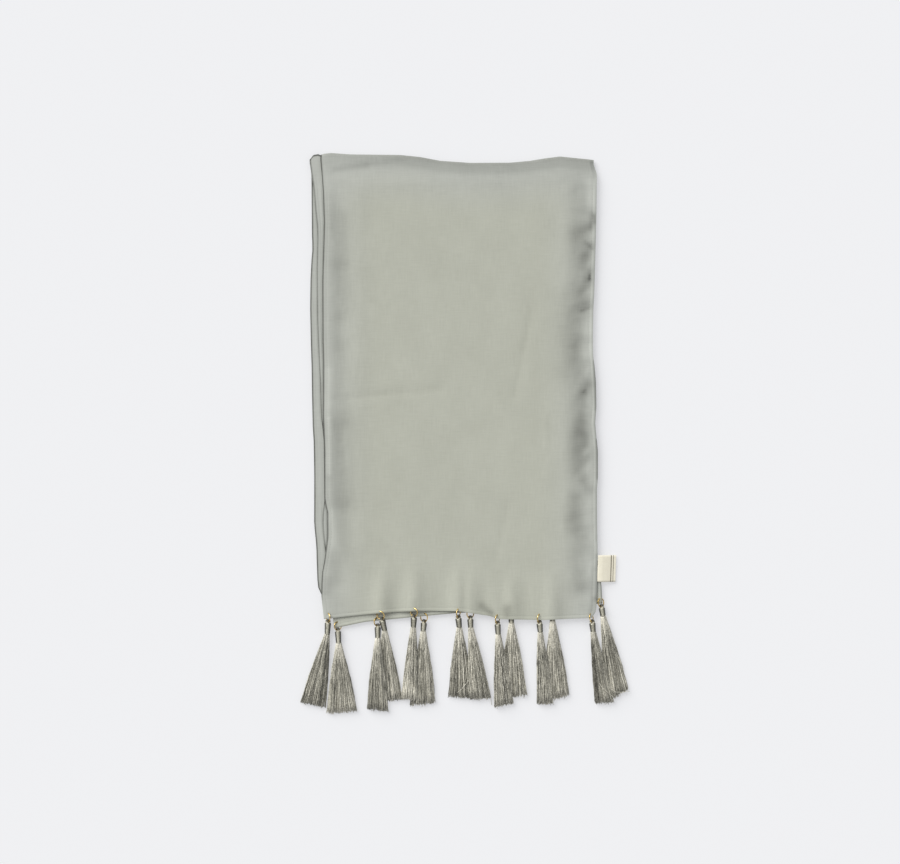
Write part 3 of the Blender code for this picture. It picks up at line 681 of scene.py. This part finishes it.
def back_place(share, row):
    """Row 0 to 1 runs over the upper layer to the middle fold, 1 to 2 round it, and 2 to 3 back below."""
    level = row if row <= 1 else 3 - row if row >= 2 else 1.0
    far = fold_line(BACK_LEFT[0].across + SCARF_WIDTH * share) - HEAD_ROOM
    near = MIDDLE_FOLD + BACK_NOSE
    y = mix(far, near, level)
    side_left = between(BACK_LEFT, y)
    x = side_left + SCARF_WIDTH * share
    z = BACK_TOP if row <= 1 else SHELL if row >= 2 else 0.0
    if 1 < row < 2:
        turn = (row - 1) * pi
        y -= BACK_NOSE * sin(turn)
        z = mix(BACK_TOP, SHELL, (1 - cos(turn)) / 2)
    rim = Rim(x - side_left, side_left + SCARF_WIDTH - x, SCARF_WIDTH)
    if row <= 1:
        z += hem_relief(rim) * BACK_HEM_SHARE
    # The tone: painted shade along its left edge, the painted shadow of the second layer's left edge, and
    # painted light over the whole layer
    past_second = between(SECOND_LEFT, y) - x
    tone = rim_tone(rim.to_left, BACK_LEFT_EDGE) - UNDER_SECOND_SHADE * bell(past_second, UNDER_SHADE_WIDTH)
    return Vector((x, y, z)), tone + BACK_LIGHT, 0.0


back_columns = stations(SCARF_WIDTH, spacing=6.0)
back_rows = even(60, 0, 1) + even(9, 1, 2)[1:] + even(30, 2, 3)[1:]
back_cloth = cloth_piece(
    "back_cloth", back_columns, back_rows, back_place, silk, SHELL, "folded_layers")


# Short running stitches hold the narrow hems. Each is a bit of fine silk thread that dips into the
# cloth at both ends, and the side hem's stitches show best where the cloth is not puckered.
def grow_strands(lines, sides):
    """Round strands: a short closed rod for each line, whose far ends are then drawn on from point to point.

    A line is a list of (point, radius, shade) rows, as many for each. The layer "shade" holds the last.
    """
    build = bmesh.new()
    number = build.faces.layers.int.new("strand")
    shade = build.verts.layers.float.new("shade")
    count = len(lines[0])

    def settle(vertex, corner, index, station):
        line = lines[index]
        before = line[max(station - 1, 0)][0]
        after = line[min(station + 1, count - 1)][0]
        point, radius, vertex[shade] = line[station]
        ahead = (after - before).normalized()
        level = ahead.cross(Vector((0, 0, 1)))
        level = level.normalized() if level.length > 0.05 else Vector((1, 0, 0))
        vertex.co = point + (level * corner[0] + ahead.cross(level) * corner[1]) * radius

    ends = []
    corners = []
    for index in range(len(lines)):
        rod = bmesh.ops.create_cone(
            build, cap_ends=True, segments=sides, radius1=1, radius2=1, depth=2)["verts"]
        top = [vertex for vertex in rod if vertex.co.z > 0]
        cap = next(face for face in top[0].link_faces if all(vertex.co.z > 0 for vertex in face.verts))
        cap[number] = index
        ends.append(cap)
        corners.append([tuple(vertex.co.xy) for vertex in cap.verts])
        for vertex in rod:
            settle(vertex, tuple(vertex.co.xy), index, 1 if vertex.co.z > 0 else 0)
    for station in range(2, count):
        ends = bmesh.ops.extrude_discrete_faces(build, faces=ends)["faces"]
        for face in ends:
            for vertex, corner in zip(face.verts, corners[face[number]]):
                settle(vertex, corner, face[number], station)
    return build


STITCH_PITCH = 2.6
STITCH_LENGTH = 1.7
STITCH_RADIUS = 0.17
STITCH_SINK = 0.2
STITCH_SHADE = 0.5
StitchPoint = namedtuple("StitchPoint", "share rise")
STITCH_PATH = [StitchPoint(*p) for p in ((0, -0.25), (0.2, 0.08), (0.8, 0.08), (1, -0.25))]


def stitch_line(seam):
    """The strands of a row of stitches along seam(distance), which gives a point."""
    lines = []
    for start in range(int(seam.length / STITCH_PITCH)):
        points = []
        for row in STITCH_PATH:
            point = seam(start * STITCH_PITCH + STITCH_LENGTH * row.share)
            points.append((point + Vector((0, 0, row.rise)), STITCH_RADIUS, STITCH_SHADE))
        lines.append(points)
    return lines


class SideSeam:
    """The stitch line of a side hem, one hem's width in from the edge."""

    def __init__(self, edge, inward, low, high, height):
        self.edge = edge
        self.inward = inward
        self.low = low
        self.length = high - low
        self.height = height

    def __call__(self, distance):
        y = self.low + distance
        x = between(self.edge, y) + self.inward * HEM
        return Vector((x, y, self.height(x, y)))


class EndSeam:
    """The stitch line of an end hem, one hem's width in from the edge."""

    def __init__(self, hem, low, high, height):
        self.hem = hem
        self.low = low
        self.length = high - low
        self.height = height

    def __call__(self, distance):
        x = self.low + distance
        y = between(self.hem, x) + HEM
        return Vector((x, y, self.height(x, y)))


def front_surface(x, y):
    """The height of the top layer with its wrinkles, at its stitch line."""
    fine = sum(fold.rise * nearness(fold, x, y) for fold in FRONT_WRINKLES)
    return front_height(x, y) + fine - STITCH_SINK


def second_surface(x, y):
    return second_height(x, y) - STITCH_SINK


stitches = Finish("stitch_thread", roughness=0.45, sheen=0.2)
stitches.colour(stitches.noise((400, 400, 400)), ((0.3, (0.30, 0.31, 0.27)), (0.7, (0.46, 0.47, 0.41))))
FRONT_SEAMS = (
    SideSeam(FRONT_LEFT, inward=1, low=-180, high=250, height=front_surface),
    SideSeam(FRONT_RIGHT, inward=-1, low=-178, high=250, height=front_surface),
    EndSeam(FRONT_HEM, low=-136, high=122, height=front_surface))
SECOND_SEAMS = (EndSeam(SECOND_HEM, low=-126, high=134, height=second_surface),)
STITCH_SIDES = 4


def stitch_piece(name, seams):
    lines = [line for seam in seams for line in stitch_line(seam)]
    piece = add_piece(name, grow_strands(lines, STITCH_SIDES), stitches.material)
    return piece


front_stitches = stitch_piece("front_stitches", FRONT_SEAMS)
second_stitches = stitch_piece("second_stitches", SECOND_SEAMS)


# The label is a cream cotton tape, folded double with its fold outwards and caught in the right-hand
# side hem. Two thin stripes are woven into it.
LABEL_NEAR = -149.0
LABEL_FAR = -122.3
DroopPoint = namedtuple("DroopPoint", "reach height")
LABEL_DROOP = [DroopPoint(*p) for p in ((0.0, 5.2), (4.5, 5.1), (9.5, 4.0), (14.5, 2.6), (18.6, 1.9))]
LABEL_SHELL = 0.35
LABEL_FOLD = 18.3
LABEL_WAVE = 0.15
LABEL_PLY = 0.55


def label_place(reach, share):
    """Reach runs over the upper face to the fold, and back below it for values past the fold."""
    y = mix(LABEL_NEAR, LABEL_FAR, share)
    out = reach if reach <= LABEL_FOLD else 2 * LABEL_FOLD - reach
    x = between(FRONT_RIGHT, y) + SEAM_GAP + out
    wave = LABEL_WAVE * sin(share * 5 + out * 0.25)
    below = 0.0 if reach <= LABEL_FOLD else min((reach - LABEL_FOLD) * 2, LABEL_PLY)
    z = between(LABEL_DROOP, out) + wave - below
    return Vector((x, y, z)), reach / LABEL_FOLD / 2, share


tape = Finish("label_tape", roughness=0.75, sheen=0.1, specular=0.25)
reach = tape.attribute("tone")
ribs = tape.noise((300, 2600, 300))
wear = tape.noise((120, 120, 120), detail=3.0)
Stripe = namedtuple("Stripe", "reach half_width")
first_stripe, last_stripe = (
    tape.node("ShaderNodeMath", {"operation": "COMPARE"}, {0: reach, 1: row.reach, 2: row.half_width})
    for row in (Stripe(0.37, 0.013), Stripe(0.43, 0.009)))
stripes = first_stripe + last_stripe
tape.colour(0.83 + (ribs - 0.5) * 0.2 + (wear - 0.5) * 0.15 - stripes * 0.7,
            ((0.0, (0.05, 0.042, 0.02)), (0.5, (0.60, 0.54, 0.40)), (1.0, (0.93, 0.89, 0.74))))
tape.bump(ribs + stripes * 0.4, 0.00012)
label_columns = even(16, 0, 18) + [18.2, LABEL_FOLD, 18.45, 18.7, 19.4] + even(10, 20.5, 2 * LABEL_FOLD)
label_tape = cloth_piece(
    "label_tape", label_columns, even(16), label_place, tape.material, LABEL_SHELL, "label")


# A brass jump ring hangs in each small hole along the hems and carries a tassel. It is round wire bent
# to a circle, whose two ends nearly meet in a fine slit.
RING_OUTER = 9.4
RING_WIRE = 1.1
WIRE_SIDES = 10
RING_STEPS = 56
SLIT_AT = 122
RING_TURN = 356.5
EYE_DROP = 0.8

# For each tassel: its eye in the ring, how the ring leans and tilts, its neck, its tips on both sides, how
# far it lies over its neighbour, and its shade, with painted shade where negative and painted light where
# positive towards its left, its right and its tips
Tassel = namedtuple(
    "Tassel", "eye_x eye_y lean tilt neck_x neck_y left_x left_y right_x right_y "
    "over shade left_shade right_shade tips")
TASSELS = [Tassel(*t) for t in (
    (-137.0, -188.5, 0, 60, -137.8, -201.5, -164.0, -269.0, -140.0, -274.0, 0, 0.38, -0.05, -0.25, 0),
    (-127.2, -197.2, 0, -35, -126.4, -210.5, -138.0, -280.0, -108.5, -278.0, 0, 0.51, -0.05, 0, 0.1),
    (-83.0, -186.1, 20, 32, -80.4, -197.5, -87.0, -268.5, -63.0, -266.0, 0, 0.43, -0.4, 0, 0.05),
    (-87.4, -193.0, 0, -35, -87.2, -205.5, -97.9, -275.4, -77.2, -277.7, 1.5, 0.41, -0.15, 0, -0.05),
    (-51.0, -183.3, 0, 35, -51.6, -194.0, -63.2, -265.0, -47.0, -267.0, 1.5, 0.46, 0, -0.2, 0.3),
    (-41.0, -188.8, 0, 35, -41.8, -198.5, -54.5, -272.0, -30.0, -269.5, 0, 0.45, -0.1, 0, 0),
    (-6.7, -184.0, 0, -64, -5.7, -194.5, -16.4, -263.3, 9.0, -265.0, 0, 0.47, -0.1, -0.3, -0.05),
    (5.3, -185.0, 0, -36, 5.7, -195.0, 5.5, -265.5, 25.5, -264.5, 1.5, 0.48, 0.05, -0.05, 0),
    (32.5, -190.0, 0, -60, 33.2, -201.5, 29.5, -273.5, 48.0, -270.0, 1.5, 0.47, -0.1, 0, 0.1),
    (46.0, -179.8, 0, -35, 46.5, -190.5, 34.0, -266.0, 62.0, -261.5, 0, 0.53, -0.2, 0.05, 0.05),
    (74.4, -189.3, 0, -60, 75.4, -199.5, 72.4, -270.5, 88.0, -270.0, 1.0, 0.4, -0.05, 0, 0.05),
    (87.0, -177.0, 0, -35, 87.6, -188.0, 79.0, -268.0, 104.0, -262.0, 0, 0.52, -0.2, 0, 0.05),
    (127.2, -188.8, 12, -64, 128.2, -199.0, 130.3, -269.7, 148.6, -268.5, 1.0, 0.41, -0.25, 0, 0.05),
    (136.5, -173.6, 8, -45, 138.2, -183.5, 142.0, -268.5, 163.6, -255.7, 0, 0.49, 0, 0, 0.05))]


def ring_frame(tassel, on_front):
    """Where a ring stands: its matrix in millimetres, from the tassel's eye to the hole in the hem."""
    radius = (RING_OUTER - RING_WIRE) / 2
    lean = radians(tassel.lean)
    hole = Vector((tassel.eye_x - 2 * radius * sin(lean), tassel.eye_y + 2 * radius * cos(lean)))
    height = front_height(*hole) if on_front else second_height(*hole)
    hole_height = height - CLOTH / 2
    eye_height = hole_height - (EYE_DROP if on_front else 0.0)
    eye = Vector((tassel.eye_x, tassel.eye_y, eye_height))
    to_hole = (Vector((hole.x, hole.y, hole_height)) - eye).normalized()
    level = Vector((to_hole.y, -to_hole.x, 0)).normalized()
    up = level.cross(to_hole)
    side = level * cos(radians(tassel.tilt)) + up * sin(radians(tassel.tilt))
    axis = to_hole.cross(side)
    middle = eye + to_hole * radius
    turned = Matrix((to_hole, side, axis)).transposed().to_4x4()
    return Matrix.Translation(middle) @ turned, eye, side


brass = Finish("brass", roughness=0.24, metallic=1.0)
brass.colour(brass.noise((330, 330, 330)), ((0.36, (0.36, 0.24, 0.06)), (0.62, (0.92, 0.68, 0.28))))
brass.feed(brass.shader.inputs["Roughness"], 0.18 + brass.noise((900, 900, 900)) * 0.16)


def jump_ring(name, place, node):
    """A circle of wire's section, spun most of the way round, with both ends closed."""
    build = bmesh.new()
    wire = bmesh.ops.create_circle(build, segments=WIRE_SIDES, radius=RING_WIRE / 2)["verts"]
    middle = (RING_OUTER - RING_WIRE) / 2
    bmesh.ops.rotate(build, verts=wire, cent=(0, 0, 0), matrix=Matrix.Rotation(pi / 2, 3, "X"))
    bmesh.ops.translate(build, verts=wire, vec=(middle, 0, 0))
    bmesh.ops.rotate(build, verts=wire, cent=(0, 0, 0), matrix=Matrix.Rotation(radians(SLIT_AT), 3, "Z"))
    bmesh.ops.spin(build, geom=build.verts[:] + build.edges[:], cent=(0, 0, 0), axis=(0, 0, 1),
                   dvec=(0, 0, 0), angle=radians(RING_TURN), steps=RING_STEPS, use_merge=False)
    bmesh.ops.holes_fill(build, edges=[edge for edge in build.edges if edge.is_boundary], sides=0)
    bmesh.ops.recalc_face_normals(build, faces=build.faces)
    build.transform(place)
    piece = add_piece(name, build, brass.material, node)
    return piece


for index, tassel in enumerate(TASSELS):
    place, eye, side = ring_frame(tassel, index % 2 == 0)
    jump_ring(f"jump_ring_{index + 1:02d}", place, f"ring_{index + 1:02d}")


# A tassel hangs from its ring by a small loop of its own thread. Below the loop a glossy dark thread is
# wound tight round the bundle as a neck, and the loose threads fan out from it, cut off level by hand.
NECK_WIDTH = 5.5
NECK_TOP = 6.4
NECK_START = 1.8
NECK_HEIGHT = 3.3
FRONT_NECK_RISE = 0.3
NECK_SIDES = 20
OutlinePoint = namedtuple("OutlinePoint", "across down")
NECK_SHOULDER = [OutlinePoint(*p) for p in ((0.0, 0.9), (1.3, 1.0), (2.2, 1.2), (NECK_TOP / 2 - 0.35, 1.5))]
WINDING_PITCH = 0.72
WINDING_GROOVE = 0.22
WINDING_CROWN = (0.2, 0.5)
LOOP_RADIUS = 0.86
LOOP_TURNS = (-0.66, 0.66)
LOOP_SIDES = 8
# The loop's colour: painted shade above the eye, where it wraps the ring, its own light colour below, and how
# far past the eye the change lies
LOOP_SHADES = (0.1, 1)
LOOP_EYE_SHADE = 0.3
LoopPoint = namedtuple("LoopPoint", "down out")
LOOP_PATH = [LoopPoint(*p) for p in (
    (2.6, -0.8), (1.6, -1.1), (0.6, -1.75), (-0.7, -1.55), (-1.55, -0.75), (-1.75, 0), (-1.55, 0.75),
    (-0.7, 1.55), (0.6, 1.75), (1.6, 1.1), (2.6, 0.8))]
THREADS = 400
LOCK = 5
THREAD_SIDES = 3
THREAD_STATIONS = (0, 0.04, 0.1, 0.18, 0.26, 0.35, 0.44, 0.53, 0.62, 0.71, 0.8, 0.9, 1.0)
TIP_HEIGHT = 2.2

thread = Finish("tassel_thread", roughness=0.33, sheen=0.1, specular=0.7)
shade = thread.attribute("shade")
streak = thread.noise((800, 120, 800))
twist = thread.noise((1100, 800, 1100))
patch = thread.noise((110, 45, 110))
thread.colour(shade + (streak - 0.5) * 0.5 + (twist - 0.5) * 1.1 + (patch - 0.5) * 0.6,
              ((0.0, (0.07, 0.066, 0.05)), (0.45, (0.36, 0.345, 0.28)), (1.0, (0.88, 0.84, 0.71))))

winding = Finish("neck_winding", roughness=0.32, metallic=0.2, specular=0.8)
# The colour paints a highlight along the top of the winding and shade down its sides, from the layer "crown",
# which says how far each point faces up
crown = winding.attribute("crown")
winding.colour(crown + (winding.noise((500, 1400, 500)) - 0.5) * 0.3,
               ((0.45, (0.025, 0.025, 0.017)), (0.8, (0.1, 0.096, 0.07)),
                (0.94, (0.34, 0.325, 0.25)), (1.0, (0.52, 0.495, 0.39))))

loop_thread = Finish("loop_thread", roughness=0.4, sheen=0.15)
loop_thread.colour(loop_thread.attribute("shade") + (loop_thread.noise((900, 900, 900)) - 0.5) * 0.5,
                   ((0.0, (0.03, 0.027, 0.018)), (0.45, (0.16, 0.15, 0.11)), (1.0, (0.78, 0.73, 0.57))))


def tassel_frame(eye, neck):
    """The frame of a tassel's head: its origin in the eye and its Y back along the tassel."""
    back = (eye - neck).normalized()
    level = back.cross(Vector((0, 0, 1))).normalized()
    up = level.cross(back)
    return Matrix.Translation(eye) @ Matrix((level, back, up)).transposed().to_4x4()


def neck_build(place, length):
    """The wound neck: a ridged outline, spun round the tassel's own line."""
    outline = list(NECK_SHOULDER)
    turns = int((length - NECK_START) / WINDING_PITCH)
    for turn in range(turns):
        start = NECK_START + turn * WINDING_PITCH
        half = mix(NECK_TOP, NECK_WIDTH, turn / (turns - 1)) / 2
        outline.append((half - WINDING_GROOVE, start))
        outline += [(half, start + place) for place in WINDING_CROWN]
    outline += [(NECK_WIDTH / 2 - 0.3, length), (0.0, length + 0.1)]
    build = bmesh.new()
    points = [build.verts.new((across, -down, 0)) for across, down in outline]
    edges = [build.edges.new(pair) for pair in zip(points, points[1:])]
    bmesh.ops.spin(build, geom=points + edges, cent=(0, 0, 0), axis=(0, 1, 0), dvec=(0, 0, 0),
                   angle=2 * pi, steps=NECK_SIDES, use_merge=True)
    bmesh.ops.remove_doubles(build, verts=build.verts, dist=0.01)
    bmesh.ops.recalc_face_normals(build, faces=build.faces)
    # How far each point faces up, for the highlight and shade painted on the winding
    crown = build.verts.layers.float.new("crown")
    for vertex in build.verts:
        vertex[crown] = max(vertex.co.z / max(vertex.co.xz.length, 0.01), 0.0)
    build.transform(place)
    return build


def loop_lines(place, eye, side):
    """Two turns of thread that leave the neck, pass through the ring and come back."""
    back = place.to_3x3() @ Vector((0, 1, 0))
    hole = (side - back * side.dot(back)).normalized()
    lateral = back.cross(hole)
    lines = []
    for offset in LOOP_TURNS:
        line = []
        for row in LOOP_PATH:
            # Painted shade on the turns where they wrap the ring, and their own light colour below
            shade = mix(*LOOP_SHADES, smooth(row.down + LOOP_EYE_SHADE))
            line.append((eye - back * row.down + lateral * row.out + hole * offset, LOOP_RADIUS, shade))
        lines.append(line)
    return lines


STRAY_RADIUS = 0.24
STRAY_SHADE = 0.75
# Single threads that have strayed from the lie of their tassel: its number, and their points
Stray = namedtuple("Stray", "tassel points")
STRAYS = (
    Stray(8, ((22.5, -250, 3.4), (25, -259, 2.6), (26, -266, 1.6), (26.6, -272.5, 0.8))),
    Stray(7, ((4, -247, 4.9), (0, -252, 4.9), (-4, -257, 4.6), (-8.5, -260.5, 3.6))),
    Stray(14, ((146, -256, 5.2), (151, -259, 5.2), (157, -259.5, 4.4), (164.5, -258.5, 3.0))),
    Stray(13, ((134, -250, 5.6), (138.5, -256, 5.5), (144, -260.5, 5.2), (150.5, -266, 4.0))),
    Stray(4, ((-80, -262, 5.6), (-78.5, -268, 5.0), (-77.5, -274, 3.4), (-76.2, -280, 1.4))))


def stray_line(stray):
    """A stray thread's rows, evenly along its points."""
    line = []
    for share in THREAD_STATIONS:
        place = share * (len(stray.points) - 1)
        index = min(int(place), len(stray.points) - 2)
        point = Vector(stray.points[index]).lerp(Vector(stray.points[index + 1]), place - index)
        line.append((point, STRAY_RADIUS, STRAY_SHADE))
    return line


# How far the locks of a skirt, and the threads within a lock, differ from each other
LOCK_DRIFT = 0.07
LOCK_LIFT = 0.3
LOCK_SHADE = 0.13
LOCK_WAVER = (0.1, 0.5)
LOCK_ROOT = (0.24, 0.46)
THREAD_PLACE = 0.03
THREAD_DRIFT = 0.03
THREAD_TURN = 0.5
THREAD_LENGTH = (-0.006, 0.014)
THREAD_SHADE = 0.12
THREAD_RADII = (0.3, 0.38)
THREAD_TAPER = 0.7
THREAD_FLOOR = 0.45
THREAD_START = 1.2
THREAD_KINK = 0.22
THREAD_RIPPLE = 0.15
WAVER_TURNS = 7
RIPPLE_TURNS = 23
KINK_TURNS = 27
BUNDLE_SHARE = 0.86
BUNDLE_BELLY = 0.12
TIP_THICKNESS = 1.75
# A highlight painted near the neck and light painted at the tips
ROOT_LIGHT = 0.36
TIP_LIGHT = 0.12


def skirt_lines(row, neck, random):
    """The loose threads of a tassel, each with its own place in the bundle, waver and length."""
    half = NECK_WIDTH / 2
    down = Vector((row.neck_x - row.eye_x, row.neck_y - row.eye_y)).normalized()
    level = Vector((-down.y, down.x))
    base = Vector((neck.x, neck.y)) - down * THREAD_START
    left_tip = Vector((row.left_x, row.left_y))
    right_tip = Vector((row.right_x, row.right_y))
    lines = []
    for index in range(THREADS):
        if index % LOCK == 0:
            lock_drift = random.gauss(0, LOCK_DRIFT)
            lock_lift = random.gauss(0, LOCK_LIFT)
            lock_shade = random.gauss(row.shade, LOCK_SHADE)
            phase = random.uniform(0, 2 * pi)
            waver = random.uniform(*LOCK_WAVER)
            root = random.uniform(*LOCK_ROOT)
        across = -0.99 + 1.98 * (index + 0.5) / THREADS + random.uniform(-THREAD_PLACE, THREAD_PLACE)
        across = min(max(across, -1.0), 1.0)
        stack = random.uniform(-1, 1)
        round_section = sqrt(max(1 - 0.9 * across * across, 0.05))
        drift = lock_drift + random.gauss(0, THREAD_DRIFT)
        turn = phase + random.gauss(0, THREAD_TURN)
        length = 1 + random.gauss(*THREAD_LENGTH)
        shade = lock_shade + random.gauss(0, THREAD_SHADE)
        side = row.left_shade * max(-across, 0) + row.right_shade * max(across, 0)
        line = []
        for share in THREAD_STATIONS:
            reach = share * length
            left = (base - level * half * BUNDLE_SHARE).lerp(left_tip, reach)
            right = (base + level * half * BUNDLE_SHARE).lerp(right_tip, reach)
            belly = 1 + BUNDLE_BELLY * sin(pi * min(reach * 1.15, 1.0))
            place = min(max(across + drift * share, -1.02), 1.02) * belly
            point = left.lerp(right, 0.5 + place / 2)
            fall = 1 - (1 - share) ** 2
            thick = mix(half * BUNDLE_SHARE, TIP_THICKNESS, fall)
            height = mix(neck.z, TIP_HEIGHT + row.over * 0.6, fall) + row.over * sin(pi * share) * 0.5
            height += (stack * thick + lock_lift * share) * round_section
            height += THREAD_RIPPLE * sin(turn + share * RIPPLE_TURNS)
            kink = THREAD_KINK * sin(turn * 2 + share * KINK_TURNS) * smooth(share * 4)
            point += level * (waver * sin(turn + share * WAVER_TURNS) * share + kink)
            radius = mix(*THREAD_RADII, min(share * 3, 1.0)) * (THREAD_TAPER if share == 1 else 1)
            # The tint adds painted light and shade to the lock's own shade: a painted highlight near the
            # neck, the sides' painted shade, and painted light at the tips
            tint = shade + side * smooth(share * 4) + ROOT_LIGHT * (1 - smooth(share / root))
            tint += row.tips * smooth(share * 2 - 1) + TIP_LIGHT * smooth(share * 8 - 7)
            tint = min(max(tint, 0.0), 1.0)
            line.append((Vector((point.x, point.y, max(height, THREAD_FLOOR))), radius, tint))
        lines.append(line)
    return lines


FIRST_SEED = 40
for index, row in enumerate(TASSELS):
    on_front = index % 2 == 0
    random = Random(FIRST_SEED + index)
    place, eye, side = ring_frame(row, on_front)
    neck = Vector((row.neck_x, row.neck_y, NECK_HEIGHT + (FRONT_NECK_RISE if on_front else 0.0)))
    head_place = tassel_frame(eye, neck)
    name = f"tassel_{index + 1:02d}"
    lines = skirt_lines(row, neck, random)
    lines += [stray_line(stray) for stray in STRAYS if stray.tassel == index + 1]
    skirt = add_piece(f"{name}_threads", grow_strands(lines, THREAD_SIDES), thread.material, name)
    collar = add_piece(f"{name}_winding", neck_build(head_place, (eye - neck).length), winding.material)
    turns = grow_strands(loop_lines(head_place, eye, side), LOOP_SIDES)
    loop = add_piece(f"{name}_loop", turns, loop_thread.material)
